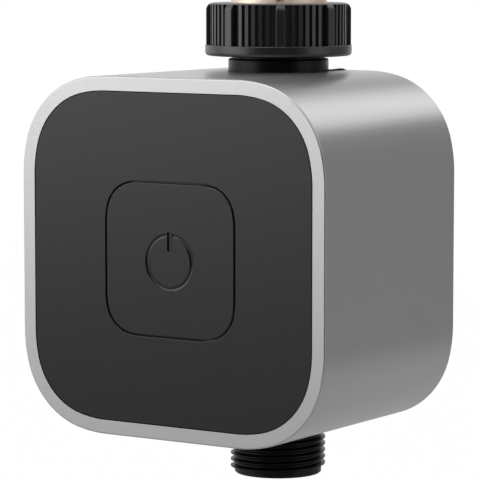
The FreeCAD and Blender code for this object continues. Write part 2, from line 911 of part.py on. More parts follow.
def make_board():
    board = box(
        ("-board_half_width", "board_half_width"),
        ("board_front", "board_back"),
        ("-board_half_height", "board_half_height"),
    )
    holes = []
    for across, up in corners("board_screw_across", "board_screw_up"):
        bore = "board_screw_radius + screw_fit"
        holes.append(rod(bore, "0", "housing_depth", "y", x=across, z=up))
    return node(cut(board, *holes), "circuit_board")


def make_board_screws():
    screws = []
    for across, up in corners("board_screw_across", "board_screw_up"):
        shank = rod(
            "board_screw_radius",
            "board_back - board_screw_length",
            "board_back",
            "y",
            x=across,
            z=up,
        )
        top = "board_back + board_screw_head_height"
        head = rod("board_screw_head", "board_back", top, "y", x=across, z=up)
        half = "rear_slot_width / 2"
        slot = box(
            (f"{across} - {half}", f"{across} + {half}"),
            (f"{top} - rear_slot_depth", f"{top} + 1"),
            (f"{up} - 2 * board_screw_head", f"{up} + 2 * board_screw_head"),
        )
        screws.append(cut(fuse(shank, head), slot))
    return node(group(*screws), "board_screws")


def make_switch():
    body = box(
        ("-switch_half", "switch_half"),
        ("switch_front", "board_front"),
        ("-switch_half", "switch_half"),
    )
    deep = "switch_front + plunger_depth + button_travel + guide_end_gap"
    well = rod("plunger_radius + plunger_fit", "0", deep, axis="y")
    node(cut(body, well), "tact_switch")
    stem = rod("plunger_radius", "plunger_front", "switch_front + plunger_depth / 2", axis="y")
    foot = rod(
        "plunger_radius",
        "switch_front + plunger_depth / 2",
        "switch_front + plunger_depth",
        axis="y",
    )
    node(fuse(stem, foot), "switch_plunger")


def make_module():
    body = box(
        ("-module_half_width", "module_half_width"),
        ("board_back", "board_back + module_height"),
        ("module_low", "module_high"),
    )
    return node(group(body), "radio_module")


def make_capacitors():
    cans = []
    for side in ("", "-"):
        cans.append(rod(
            "capacitor_radius",
            "board_back",
            "board_back + capacitor_length",
            "y",
            x=f"{side}capacitor_across",
            z="-capacitor_down",
        ))
    return node(group(*cans), "board_capacitors")


def make_connector_pads():
    pads = []
    for side in ("", "-"):
        pads.append(rod(
            "connector_pad",
            "board_back",
            "board_back + connector_pad_thickness",
            "y",
            x=f"{side}terminal_across",
            z="terminal_rise",
        ))
    return node(group(*pads), "connector_pads")


# Rear housing and its screws

def make_rear_housing():
    plate = inset_square("skirt_inset", "skirt_front", "housing_depth")
    bulge = rounded_square(
        "bulge_half", "bulge_blend", "bulge_corner", "wall_front", "bulge_back"
    )
    round_edges(bulge, "bulge_round", lies_at("Y", "bulge_back"))
    hollow = inset_square("skirt_inset + skirt_wall", "0", "wall_front")
    inside = rounded_square(
        "bulge_half - back_wall",
        "bulge_blend - back_wall",
        "bulge_corner - back_wall",
        "wall_front - 1",
        "bulge_back - back_wall",
    )
    solids = [cut(fuse(plate, bulge), hollow, inside)]
    holes = []
    root = "housing_half - skirt_inset - skirt_wall"
    start = "pipe_setback + tongue_start"
    for low, high in (
        (root, "housing_half + tongue_rise"),
        ("-housing_half + tongue_sink", f"-({root})"),
    ):
        across = ("-tongue_half", "tongue_half")
        solids.append(box(across, (start, "housing_depth"), (low, high)))
        collar = rod("neck_radius + collar_wall", low, high, y="pipe_setback")
        solids.append(common(collar, box(across, (start, "bulge_back"), (low, high))))
    for low in ("-tongue_half", "tongue_half - rail_width"):
        solids.append(side_prism([
            (start, root),
            ("housing_depth - rail_end", root),
            ("housing_depth - rail_end", "housing_half + rail_low"),
            (f"{start} + rail_run", "housing_half + rail_high"),
            (start, "housing_half + rail_low"),
        ], low, f"{low} + rail_width"))
    for across, up in corners("valve_screw_offset"):
        post = "valve_face + valve_flange"
        wall = "bulge_back - back_wall"
        solids.append(rod("valve_post_radius", post, wall, "y", x=across, z=up))
        end = "bonnet_front + valve_screw_length + screw_fit"
        holes.append(rod("valve_screw_radius + screw_fit / 2", "0", end, "y", x=across, z=up))
    for across, up in corners("post_offset"):
        end = "post_end + boss_offset_gap"
        solids.append(rod("boss_radius_rear", end, "wall_front", "y", x=across, z=up))
        bore = "rear_screw_radius + screw_fit"
        holes.append(rod(bore, "0", "housing_depth + 1", "y", x=across, z=up))
    holes += [
        rod("pipe_radius + pipe_gap", "-housing_half", "housing_half", y="pipe_setback"),
        rod("neck_radius + collar_gap", "neck_foot - collar_gap", "seat_level", y="pipe_setback"),
        rod(
            "outlet_crest + outlet_gap",
            "-seat_level",
            "-pipe_bottom + collar_gap",
            y="pipe_setback",
        ),
    ]
    return node(cut(fuse(*solids), *holes), "rear_housing")


def make_rear_screws():
    screws = []
    for across, up in corners("post_offset"):
        tip = "housing_depth - rear_screw_length"
        top = "housing_depth + rear_screw_head_height"
        shank = rod("rear_screw_radius", tip, "housing_depth", "y", x=across, z=up)
        head = rod("rear_screw_head", "housing_depth", top, "y", x=across, z=up)
        half = "rear_slot_width / 2"
        slot = box(
            (f"{across} - {half}", f"{across} + {half}"),
            (f"{top} - rear_slot_depth", f"{top} + 1"),
            (f"{up} - 2 * rear_screw_head", f"{up} + 2 * rear_screw_head"),
        )
        screws.append(cut(fuse(shank, head), slot))
    return node(group(*screws), "rear_screws")


# Valve: body, diaphragm, bonnet and solenoid

def make_valve_body():
    neck = turned([
        ("0", "0"),
        ("pipe_radius", "0"),
        ("pipe_radius", "neck_foot"),
        ("neck_radius", "neck_foot"),
        ("neck_radius", "neck_top - neck_chamfer"),
        ("neck_radius - neck_chamfer", "neck_top"),
        ("0", "neck_top"),
    ])
    bind(neck, ".Placement.Base.y", "pipe_setback")
    pipe = rod("pipe_radius", "-pipe_bottom", "0", y="pipe_setback")
    flange = rounded_square(
        "valve_half",
        "valve_blend",
        "valve_corner",
        "valve_face",
        "valve_face + valve_flange",
    )
    drum = rod("drum_radius", "valve_face", "chamber_floor + drum_floor", axis="y")
    chamber = cut(
        rod("chamber_radius", "valve_face - 1", "chamber_floor", axis="y"),
        rod("seat_outer", "seat_lip", "housing_depth", axis="y"),
    )
    socket = "spigot_radius + spigot_fit"
    deep = "spigot_length + spigot_fit"
    holes = [
        chamber,
        rod("seat_bore", "valve_face", "pipe_setback", axis="y"),
        rod("outlet_passage", "-pipe_bottom - 1", "passage_rise", y="pipe_setback"),
        rod(socket, "-pipe_bottom - 1", f"-pipe_bottom + {deep}", y="pipe_setback"),
        rod("water_bore", "inlet_blind", "neck_top + 1", y="pipe_setback"),
        rod(socket, f"neck_top - ({deep})", "neck_top + 1", y="pipe_setback"),
        rod("port_radius", "chamber_floor - 1", "pipe_setback", "y", z="port_rise"),
    ]
    for across, up in corners("valve_screw_offset"):
        bore = "valve_screw_radius + screw_fit"
        holes.append(rod(bore, "0", "housing_depth", "y", x=across, z=up))
    return node(cut(fuse(neck, pipe, flange, drum), *holes), "valve_body")


def make_diaphragm():
    web_front = "diaphragm_front + (diaphragm_rim - diaphragm_web) / 2"
    web_back = f"{web_front} + diaphragm_web"
    lip = "seat_lip - diaphragm_gap"
    inner = "chamber_radius - diaphragm_fit"
    body = turned([
        ("pilot_bore", "diaphragm_front"),
        ("diaphragm_core", "diaphragm_front"),
        ("diaphragm_core", web_front),
        (inner, web_front),
        (inner, "diaphragm_front"),
        ("diaphragm_radius", "diaphragm_front"),
        ("diaphragm_radius", "valve_face"),
        (inner, "valve_face"),
        (inner, web_back),
        ("diaphragm_core", web_back),
        ("diaphragm_core", lip),
        ("pilot_bore", lip),
    ], "y")
    return node(body, "diaphragm")


def make_poppet():
    body = turned([
        ("pilot_bore", "stem_front"),
        ("poppet_stem", "stem_front"),
        ("poppet_stem", "poppet_front"),
        ("poppet_radius", "poppet_front"),
        ("poppet_radius", "poppet_back"),
        ("pilot_bore", "poppet_back"),
    ], "y")
    return node(body, "diaphragm_poppet")


def make_poppet_spring():
    spring = coil(
        "poppet_spring_radius",
        "poppet_spring_wire",
        "poppet_spring_turns",
        "cavity_front - spring_pocket_depth + contact_slack",
        "poppet_front - contact_slack",
    )
    return node(spring, "poppet_spring")


def make_bonnet():
    plate = rounded_square(
        "valve_half", "valve_blend", "valve_corner", "bonnet_front", "valve_face"
    )
    boss = rod("boss_radius", "boss_front", "bonnet_front", axis="y")
    nozzle = rod("nozzle_radius", "nozzle_front", "boss_front", axis="y")
    tube_seat = cut(
        rod("tube_radius + running_fit", "boss_front - 1", "tube_back + running_fit", axis="y"),
        rod("tube_bore - running_fit", "0", "housing_depth", axis="y"),
    )
    side = "(poppet_spring_wire + spring_pocket_gap)"
    spring_seat = cut(
        rod(f"poppet_spring_radius + {side}", "cavity_front - spring_pocket_depth", "cavity_front", "y"),
        rod(f"poppet_spring_radius - {side}", "0", "housing_depth", "y"),
    )
    holes = [
        rod("diaphragm_radius + diaphragm_fit", "diaphragm_front", "housing_depth", axis="y"),
        rod("bonnet_cavity", "cavity_front", "housing_depth", axis="y"),
        rod("poppet_stem + running_fit", "guide_front", "housing_depth", axis="y"),
        rod("bleed_radius", "nozzle_front - 1", "housing_depth", axis="y"),
        rod("bleed_radius", "nozzle_front - 1", "housing_depth", "y", z="bleed_offset"),
        tube_seat,
        spring_seat,
    ]
    for across, up in corners("valve_screw_offset"):
        bore = "valve_screw_radius + screw_fit"
        holes.append(rod(bore, "0", "housing_depth", "y", x=across, z=up))
    return node(cut(fuse(plate, boss, nozzle), *holes), "valve_bonnet")


def make_valve_screws():
    screws = []
    for across, up in corners("valve_screw_offset"):
        tip = "bonnet_front + valve_screw_length"
        top = "bonnet_front - valve_screw_head_height"
        shank = rod("valve_screw_radius", "bonnet_front", tip, "y", x=across, z=up)
        head = rod("valve_screw_head", top, "bonnet_front", "y", x=across, z=up)
        half = "rear_slot_width / 2"
        slot = box(
            (f"{across} - {half}", f"{across} + {half}"),
            (f"{top} - 1", f"{top} + rear_slot_depth"),
            (f"{up} - 2 * valve_screw_head", f"{up} + 2 * valve_screw_head"),
        )
        screws.append(cut(fuse(shank, head), slot))
    return node(group(*screws), "valve_screws")


def make_core_tube():
    body = turned([
        ("0", "tube_front"),
        ("tube_radius", "tube_front"),
        ("tube_radius", "tube_back"),
        ("tube_bore", "tube_back"),
        ("tube_bore", "tube_front + tube_end"),
        ("0", "tube_front + tube_end"),
    ], "y")
    return node(body, "core_tube")


def make_pole_piece():
    body = turned([
        ("0", "pole_front"),
        ("core_radius", "pole_front"),
        ("core_radius", "pole_back"),
        ("0", "pole_back"),
    ], "y")
    return node(body, "pole_piece")


def make_plunger():
    pocket = "core_front + core_pocket_depth"
    hold = "tip_back - tip_length"
    body = turned([
        ("0", pocket),
        ("core_pocket", pocket),
        ("core_pocket", "core_front"),
        ("core_radius", "core_front"),
        ("core_radius", "core_back"),
        ("tip_radius", "core_back"),
        ("tip_radius", hold),
        ("0", hold),
    ], "y")
    node(body, "solenoid_plunger")
    tip = turned([
        ("0", hold),
        ("tip_radius", hold),
        ("tip_radius", "tip_back"),
        ("0", "tip_back"),
    ], "y")
    node(tip, "plunger_seal")
    spring = coil(
        "core_spring_radius",
        "core_spring_wire",
        "core_spring_turns",
        "pole_back + contact_slack",
        f"{pocket} - contact_slack",
    )
    node(spring, "plunger_spring")


def make_bobbin():
    front_flange = "bobbin_front + bobbin_flange_thickness"
    back_flange = "bobbin_back - bobbin_flange_thickness"
    body = turned([
        ("bobbin_bore", "bobbin_front"),
        ("bobbin_flange", "bobbin_front"),
        ("bobbin_flange", front_flange),
        ("bobbin_hub", front_flange),
        ("bobbin_hub", back_flange),
        ("bobbin_flange", back_flange),
        ("bobbin_flange", "bobbin_back"),
        ("bobbin_bore", "bobbin_back"),
    ], "y")
    node(body, "coil_bobbin")
    winding = turned([
        ("bobbin_hub + coil_gap", f"{front_flange} + coil_gap"),
        ("coil_radius", f"{front_flange} + coil_gap"),
        ("coil_radius", f"{back_flange} - coil_gap"),
        ("bobbin_hub + coil_gap", f"{back_flange} - coil_gap"),
    ], "y")
    node(winding, "coil_winding")


def make_yoke():
    front = "bobbin_front - yoke_slack"
    across = ("-yoke_half", "yoke_half")
    plates = fuse(
        box(across, (f"{front} - yoke_plate", front), ("-yoke_bottom", "yoke_top")),
        box(across, ("boss_front - yoke_plate", "boss_front"), ("-yoke_bottom", "yoke_top")),
        box(across, (f"{front} - yoke_plate", "boss_front"), ("-yoke_bottom", "-yoke_bottom + yoke_plate")),
    )
    return node(cut(plates, rod("bobbin_bore", "0", "housing_depth", axis="y")), "solenoid_yoke")


def make_magnet():
    body = turned([
        ("0", "tube_front - magnet_thickness"),
        ("magnet_radius", "tube_front - magnet_thickness"),
        ("magnet_radius", "tube_front"),
        ("0", "tube_front"),
    ], "y")
    return node(body, "latch_magnet")


def make_terminals():
    pins = []
    for side in ("", "-"):
        pins.append(rod(
            "terminal_radius",
            "board_back + connector_pad_thickness + terminal_gap",
            "bobbin_front",
            "y",
            x=f"{side}terminal_across",
            z="terminal_rise",
        ))
    return node(group(*pins), "coil_terminals")


# Inlet: tailpiece, screen, washers, nut and reducer

def make_tailpiece():
    groove_top = "neck_top - seal_inset"
    groove_bottom = f"{groove_top} - seal_groove_height"
    shelf = "flange_top - screen_thickness"
    body = turned([
        ("water_bore", "neck_top - spigot_length"),
        ("spigot_radius", "neck_top - spigot_length"),
        ("spigot_radius", groove_bottom),
        ("seal_groove", groove_bottom),
        ("seal_groove", groove_top),
        ("spigot_radius", groove_top),
        ("spigot_radius", "neck_top"),
        ("tail_radius", "neck_top"),
        ("tail_radius", "flange_bottom"),
        ("flange_radius", "flange_bottom"),
        ("flange_radius", "flange_top"),
        ("screen_radius + spigot_fit", "flange_top"),
        ("screen_radius + spigot_fit", shelf),
        ("water_bore", shelf),
    ])
    return node(body, "inlet_tailpiece", "pipe")


def make_screen():
    disc = rod("screen_radius", "flange_top - screen_thickness", "flange_top")
    holes = [rod("screen_hole", "0", "seat_level")]
    for ring in (1, 2):
        for step in range(6 * ring):
            angle = 60 * step / ring
            x = f"screen_pitch * {ring} * cos({angle})"
            y = f"screen_pitch * {ring} * sin({angle})"
            holes.append(rod("screen_hole", "0", "seat_level", x=x, y=y))
    return node(cut(disc, *holes), "inlet_screen", "pipe")


def make_seal_rings():
    rings = []
    for level in (
        "neck_top - seal_inset - seal_groove_height / 2",
        "-pipe_bottom + seal_inset + seal_groove_height / 2",
    ):
        ring = doc.addObject("Part::Torus", "Ring")
        bind(ring, "Radius1", "(seal_groove + spigot_radius + spigot_fit) / 2")
        bind(ring, "Radius2", "seal_wire")
        bind(ring, ".Placement.Base.z", level)
        rings.append(ring)
    return node(group(*rings), "pipe_seal_rings", "pipe")


def make_washers():
    main = turned([
        ("washer_bore", "flange_top"),
        ("washer_radius", "flange_top"),
        ("washer_radius", "washer_top"),
        ("washer_bore", "washer_top"),
    ])
    node(main, "inlet_washer", "pipe")
    seat = turned([
        ("seat_washer_bore", "seat_floor"),
        ("seat_washer_radius", "seat_floor"),
        ("seat_washer_radius", "seat_level"),
        ("seat_washer_bore", "seat_level"),
    ])
    node(seat, "seat_washer", "pipe")
    slip = turned([
        ("tail_radius + slip_gap", "neck_top + slip_gap"),
        ("tail_radius + slip_gap + slip_ring_width", "neck_top + slip_gap"),
        ("tail_radius + slip_gap + slip_ring_width", "nut_bottom - slip_gap"),
        ("tail_radius + slip_gap", "nut_bottom - slip_gap"),
    ])
    node(slip, "nut_slip_ring", "pipe")


def sector_sketch(body, inner, outer, spans, level):
    """Ring sectors between two radii, each between two azimuths in degrees, at one level."""
    sketch = sketch_on(body, "XY_Plane", level)
    near, far = size_of(inner), size_of(outer)
    for span in spans:
        start, stop = (math.radians(size_of(azimuth)) for azimuth in span)
        base = sketch.GeometryCount
        ends = [Vector(math.cos(a), math.sin(a), 0) for a in (start, stop)]
        sketch.addGeometry([
            Part.ArcOfCircle(Part.Circle(Vector(), Z_AXIS, far), start, stop),
            Part.LineSegment(ends[1] * near, ends[1] * far),
            Part.ArcOfCircle(Part.Circle(Vector(), Z_AXIS, near), start, stop),
            Part.LineSegment(ends[0] * near, ends[0] * far),
        ], False)
        outside, last, inside, first = range(base, base + 4)
        for arc in (outside, inside):
            sketch.addConstraint(Sketcher.Constraint("Coincident", arc, 3, -1, 1))
        for line, corner in ((first, 1), (last, 2)):
            sketch.addConstraint(Sketcher.Constraint("Coincident", line, 1, inside, corner))
            sketch.addConstraint(Sketcher.Constraint("Coincident", line, 2, outside, corner))
            sketch.addConstraint(Sketcher.Constraint("PointOnObject", -1, 1, line))
        constrain(sketch, "Radius", outside, formula=outer)
        constrain(sketch, "Radius", inside, formula=inner)
        for line, azimuth in ((first, span[0]), (last, span[1])):
            constrain_angle(sketch, line, azimuth)
    return sketch


def make_nut():
    bore = "nut_thread + nut_fit"
    body = turned([
        ("tail_radius + nut_hole_gap", "nut_bottom"),
        ("band_radius", "nut_bottom"),
        ("band_radius", "band_top"),
        ("lug_radius", "band_top"),
        ("lug_radius", "nut_top"),
        (bore, "nut_top"),
        (bore, "nut_bottom + nut_floor"),
        ("tail_radius + nut_hole_gap", "nut_bottom + nut_floor"),
    ])

    def rim(radius, level):
        at_level = lies_at("Z", level)
        reach = size_of(radius)
        return lambda edge: at_level(edge) and edge.BoundBox.XMax > reach - 1e-4
    round_edges(body, "nut_bottom_round", rim("band_radius", "nut_bottom"))
    round_edges(body, "nut_top_round", rim("lug_radius", "nut_top"))
    round_edges(body, "band_top_round", rim("band_radius", "band_top"))
    # the grip: between two lugs the wall is stepped in, and grooves leave five ribs there
    middle = "(lug_azimuth + 180 / lug_count)"
    half = "(180 / lug_count - lug_angle / 2)"
    far = "band_radius + 1"
    step = [(f"{middle} - {half}", f"{middle} + {half}")]
    edges = [f"-{half}"]
    for rib in (-2, -1, 0, 1, 2):
        centre = f"({rib} * rib_pitch)"
        edges += [f"{centre} - rib_angle / 2", f"{centre} + rib_angle / 2"]
    edges.append(half)
    grooves = [
        (f"{middle} + {edges[i]}", f"{middle} + {edges[i + 1]}")
        for i in range(0, len(edges), 2)
    ]
    cuts = []
    for inner, spans in (("rib_radius", step), ("groove_radius", grooves)):
        pocket = body.newObject("PartDesign::Pocket", "Grip")
        pocket.Profile = sector_sketch(body, inner, far, spans, "groove_top")
        bind(pocket, "Length", "groove_top - band_top")
        body.Tip = pocket
        cuts.append(pocket)
    doc.recompute()
    pattern = body.newObject("PartDesign::PolarPattern", "Around")
    pattern.Originals = cuts
    pattern.Axis = (cuts[0].Profile[0], ["N_Axis"])
    pattern.Angle = 360
    bind(pattern, "Occurrences", "lug_count")
    body.Tip = pattern
    low, outside, shoulder = map(size_of, ("band_top", "lug_radius", "nut_top_round"))

    def beside_lug(edge):
        """The lugs' side edges, which run up from the band and over the shoulder."""
        bounds = edge.BoundBox
        reach = max(math.hypot(corner.X, corner.Y) for corner in edge.Vertexes)
        upright = bounds.ZMax - bounds.ZMin > shoulder / 2
        return upright and bounds.ZMin > low - 1e-4 and reach > outside - 1e-4
    round_edges(body, "lug_round", beside_lug)
    return node(body, "swivel_nut", "pipe")


def make_reducer():
    wide = "inlet_bore + reducer_chamfer"
    body = turned([
        ("reducer_hole", "reducer_bottom"),
        ("nut_thread", "reducer_bottom"),
        ("nut_thread", "reducer_top - reducer_chamfer"),
        ("nut_thread - reducer_chamfer", "reducer_top"),
        (wide, "reducer_top"),
        ("inlet_bore", "reducer_top - reducer_chamfer"),
        ("inlet_bore", "seat_level"),
        ("seat_washer_radius + seat_washer_gap", "seat_level"),
        ("seat_washer_radius + seat_washer_gap", "seat_floor"),
        ("reducer_hole", "seat_floor"),
    ])
    keys = []
    for turn in (0, 180):
        key = doc.addObject("Part::Box", "Key")
        bind(key, "Length", "key_depth + 1")
        bind(key, "Width", "key_width")
        bind(key, "Height", "reducer_top - key_drop - nut_top")
        azimuth = f"(lug_azimuth + {turn})"
        near = "(nut_thread - key_depth)"
        key.Placement = FreeCAD.Placement(Vector(), FreeCAD.Rotation(Z_AXIS, 1))
        bind(key, ".Placement.Rotation.Angle", azimuth)
        bind(key, ".Placement.Base.x", f"{near} * cos({azimuth}) + key_width / 2 * sin({azimuth})")
        bind(key, ".Placement.Base.y", f"{near} * sin({azimuth}) - key_width / 2 * cos({azimuth})")
        bind(key, ".Placement.Base.z", "nut_top")
        keys.append(key)
    return node(cut(body, *keys), "inlet_reducer", "pipe")


# Outlet

def make_outlet():
    groove_bottom = "-pipe_bottom + seal_inset"
    groove_top = f"{groove_bottom} + seal_groove_height"
    core = turned([
        ("outlet_bore", "-outlet_bottom"),
        ("outlet_root - outlet_chamfer", "-outlet_bottom"),
        ("outlet_root", "-outlet_bottom + outlet_chamfer"),
        ("outlet_root", "-pipe_bottom"),
        ("spigot_radius", "-pipe_bottom"),
        ("spigot_radius", groove_bottom),
        ("seal_groove", groove_bottom),
        ("seal_groove", groove_top),
        ("spigot_radius", groove_top),
        ("spigot_radius", "-pipe_bottom + spigot_length"),
        ("outlet_passage", "-pipe_bottom + spigot_length"),
        ("outlet_passage", "-outlet_bore_top"),
        ("outlet_bore", "-outlet_bore_top"),
    ])
    start = "-thread_bottom"
    inner = "outlet_root - thread_sink"
    profile = [
        (inner, f"{start} - thread_root_half"),
        ("outlet_crest", f"{start} - thread_crest_half"),
        ("outlet_crest", f"{start} + thread_crest_half"),
        (inner, f"{start} + thread_root_half"),
    ]
    sketch = polygon(core, "XZ_Plane", profile)
    thread = core.newObject("PartDesign::AdditiveHelix", "Thread")
    thread.Profile = sketch
    thread.ReferenceAxis = (sketch, ["V_Axis"])
    thread.Mode = 0
    bind(thread, "Pitch", "thread_pitch")
    bind(thread, "Height", "thread_bottom - thread_top - thread_root_half")
    core.Tip = thread
    core.Placement = FreeCAD.Placement(Vector(), FreeCAD.Rotation(Z_AXIS, 1))
    bind(core, ".Placement.Rotation.Angle", "thread_azimuth")
    return node(core, "outlet_nipple", "pipe")


def make_all():
    make_sleeve()
    make_panel()
    make_panel_gasket()
    make_button()
    make_button_spring()
    make_chassis()
    make_tray("", "battery_tray_right")
    make_tray("-", "battery_tray_left")
    make_cell("", "battery_right", 1)
    make_cell("-", "battery_left", -1)
    make_cell_contacts()
    make_cell_springs()
    make_board()
    make_board_screws()
    make_switch()
    make_module()
    make_capacitors()
    make_connector_pads()
    make_rear_housing()
    make_rear_screws()
    make_valve_body()
    make_diaphragm()
    make_poppet()
    make_poppet_spring()
    make_bonnet()
    make_valve_screws()
    make_core_tube()
    make_pole_piece()
    make_plunger()
    make_bobbin()
    make_yoke()
    make_magnet()
    make_terminals()
    make_tailpiece()
    make_screen()
    make_seal_rings()
    make_washers()
    make_nut()
    make_reducer()
    make_outlet()


def check_and_write():
    """Stop on any failed object, then write one file for each piece."""
    doc.recompute()
    for thing in doc.Objects:
        if "Invalid" in thing.State or "Error" in thing.State:
            raise SystemExit(f"{thing.Name} ({thing.Label}) is {thing.State}")
    for piece in NODES:
        if piece.Shape.isNull() or not piece.Shape.isValid() or not piece.Shape.Solids:
            raise SystemExit(f"{piece.Label} has no valid solid")
    os.makedirs("parts", exist_ok=True)
    for piece in NODES:
        piece.Shape.exportStep(f"parts/{piece.Label}.step")
        solids = len(piece.Shape.Solids)
        print(f"{piece.Label}: {solids} solid(s), {piece.Shape.Volume:.1f} mm3")


make_all()
check_and_write()
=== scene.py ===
import json
import math

import bpy
from mathutils import Matrix, Vector


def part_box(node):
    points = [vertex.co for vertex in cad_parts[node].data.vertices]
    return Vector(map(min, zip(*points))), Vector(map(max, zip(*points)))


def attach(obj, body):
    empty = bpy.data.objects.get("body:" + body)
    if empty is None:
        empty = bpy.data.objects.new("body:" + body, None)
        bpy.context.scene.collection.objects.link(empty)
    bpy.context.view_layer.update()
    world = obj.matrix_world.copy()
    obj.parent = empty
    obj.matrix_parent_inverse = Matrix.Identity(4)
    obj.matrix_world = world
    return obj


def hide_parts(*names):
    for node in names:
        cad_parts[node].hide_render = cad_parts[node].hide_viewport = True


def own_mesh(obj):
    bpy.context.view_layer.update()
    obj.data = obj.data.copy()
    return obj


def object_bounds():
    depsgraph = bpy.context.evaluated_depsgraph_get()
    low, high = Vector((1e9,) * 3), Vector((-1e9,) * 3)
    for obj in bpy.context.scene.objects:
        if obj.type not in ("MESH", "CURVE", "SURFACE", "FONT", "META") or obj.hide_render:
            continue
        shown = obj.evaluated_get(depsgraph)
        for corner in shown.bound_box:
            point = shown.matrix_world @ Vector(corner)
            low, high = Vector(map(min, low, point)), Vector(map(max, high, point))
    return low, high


# Looks of the smart irrigation controller. Lengths are in metres, in the part's frame:
# the origin is on the pipe axis at the inlet's seat, -Y is the front and +Z is up.

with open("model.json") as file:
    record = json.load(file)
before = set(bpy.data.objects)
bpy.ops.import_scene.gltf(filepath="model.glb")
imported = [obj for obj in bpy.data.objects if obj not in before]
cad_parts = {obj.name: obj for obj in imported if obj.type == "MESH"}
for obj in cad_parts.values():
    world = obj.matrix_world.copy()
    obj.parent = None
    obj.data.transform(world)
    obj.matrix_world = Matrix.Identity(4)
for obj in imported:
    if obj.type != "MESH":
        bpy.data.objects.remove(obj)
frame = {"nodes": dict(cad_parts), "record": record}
scene = bpy.context.scene
cad_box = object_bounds()

FACE_Y = -0.0533
CENTRE_Z = -0.0603


# Materials

# The noise seldom leaves this range
NOISE_LOW = 0.3
NOISE_HIGH = 0.7

# Noise cells per metre of the broad cloudiness
MOULDED_CLOUDS = 60
METAL_CLOUDS = 25

# How far the roughness goes up and down with the grain
MOULDED_ROUGH_VARY = 0.06
METAL_ROUGH_VARY = 0.05

# Depths behind the front face between which a polished finish takes over
POLISH_START = 0.00006
POLISH_END = 0.00012

SHEEN_ROUGHNESS = 0.5


def shader(name):
    """A new material with nothing but its Principled shader, its node tree and that shader."""
    mat = bpy.data.materials.new(name)
    mat.use_nodes = True
    tree = mat.node_tree
    return mat, tree, tree.nodes["Principled BSDF"]


def noise(tree, coords, scale, detail, stretch=None):
    """Fractal noise in object space; stretch squeezes it along an axis."""
    tex = tree.nodes.new("ShaderNodeTexNoise")
    tex.inputs["Scale"].default_value = scale
    tex.inputs["Detail"].default_value = detail
    source = coords.outputs["Object"]
    if stretch:
        mapping = tree.nodes.new("ShaderNodeMapping")
        mapping.inputs["Scale"].default_value = stretch
        tree.links.new(source, mapping.inputs["Vector"])
        source = mapping.outputs["Vector"]
    tree.links.new(source, tex.inputs["Vector"])
    return tex.outputs["Fac"]


def spread(tree, value, low, high):
    """The noise value, stretched from its usual range to the range low to high."""
    node = tree.nodes.new("ShaderNodeMapRange")
    node.inputs["From Min"].default_value = NOISE_LOW
    node.inputs["From Max"].default_value = NOISE_HIGH
    node.inputs["To Min"].default_value = low
    node.inputs["To Max"].default_value = high
    tree.links.new(value, node.inputs["Value"])
    return node.outputs["Result"]


def tint(tree, value, colour, vary):
    """The colour, varied by the noise value between darker and lighter."""
    ramp = tree.nodes.new("ShaderNodeValToRGB")
    ramp.color_ramp.elements[0].position = NOISE_LOW
    ramp.color_ramp.elements[1].position = NOISE_HIGH
    for stop, factor in zip(ramp.color_ramp.elements, (1 - vary, 1 + vary)):
        stop.color = [min(1.0, c * factor) for c in colour] + [1.0]
    tree.links.new(value, ramp.inputs["Fac"])
    return ramp.outputs["Color"]


def bump(tree, height, distance, bsdf):
    """Relief of the surface; distance is how deep it is from black to white."""
    node = tree.nodes.new("ShaderNodeBump")
    node.inputs["Strength"].default_value = 1.0
    node.inputs["Distance"].default_value = distance
    tree.links.new(height, node.inputs["Height"])
    tree.links.new(node.outputs["Normal"], bsdf.inputs["Normal"])


def polished_behind_face(tree, coords, rough, polish):
    """The roughness at the front face, and polish on what lies behind it."""
    axes = tree.nodes.new("ShaderNodeSeparateXYZ")
    tree.links.new(coords.outputs["Object"], axes.inputs["Vector"])
    behind = tree.nodes.new("ShaderNodeMapRange")
    behind.inputs["From Min"].default_value = FACE_Y + POLISH_START
    behind.inputs["From Max"].default_value = FACE_Y + POLISH_END
    behind.inputs["To Max"].default_value = polish
    tree.links.new(axes.outputs["Y"], behind.inputs["Value"])
    tree.links.new(rough, behind.inputs["To Min"])
    return behind.outputs["Result"]


def moulded(name, colour, roughness, grain=2500, depth=6e-6, vary=0.08, specular=0.5,
            sheen=0.0, polish=None):
    """Moulded plastic or rubber: fine spark-eroded grain over a faint cloudiness.

    With polish, all that lies behind the front face, such as edges and engraving, is that smooth.
    """
    mat, tree, bsdf = shader(name)
    coords = tree.nodes.new("ShaderNodeTexCoord")
    fine = noise(tree, coords, grain, detail=2.0)
    broad = noise(tree, coords, MOULDED_CLOUDS, detail=4.0)
    tree.links.new(tint(tree, broad, colour, vary), bsdf.inputs["Base Color"])
    rough = spread(tree, fine, roughness - MOULDED_ROUGH_VARY, roughness + MOULDED_ROUGH_VARY)
    if polish:
        rough = polished_behind_face(tree, coords, rough, polish)
    tree.links.new(rough, bsdf.inputs["Roughness"])
    bsdf.inputs["Specular IOR Level"].default_value = specular
    if sheen:
        bsdf.inputs["Sheen Weight"].default_value = sheen
        bsdf.inputs["Sheen Roughness"].default_value = SHEEN_ROUGHNESS
    bump(tree, fine, depth, bsdf)
    return mat


def metal(name, colour, roughness, grain=2500, depth=2e-6, vary=0.05, stretch=None):
    """Bare or anodised metal: blasted grain, or drawn lines where stretch is given."""
    mat, tree, bsdf = shader(name)
    coords = tree.nodes.new("ShaderNodeTexCoord")
    fine = noise(tree, coords, grain, detail=3.0, stretch=stretch)
    broad = noise(tree, coords, METAL_CLOUDS, detail=4.0)
    tree.links.new(tint(tree, broad, colour, vary), bsdf.inputs["Base Color"])
    rough = spread(tree, fine, roughness - METAL_ROUGH_VARY, roughness + METAL_ROUGH_VARY)
    tree.links.new(rough, bsdf.inputs["Roughness"])
    bsdf.inputs["Metallic"].default_value = 1.0
    bump(tree, fine, depth, bsdf)
    return mat


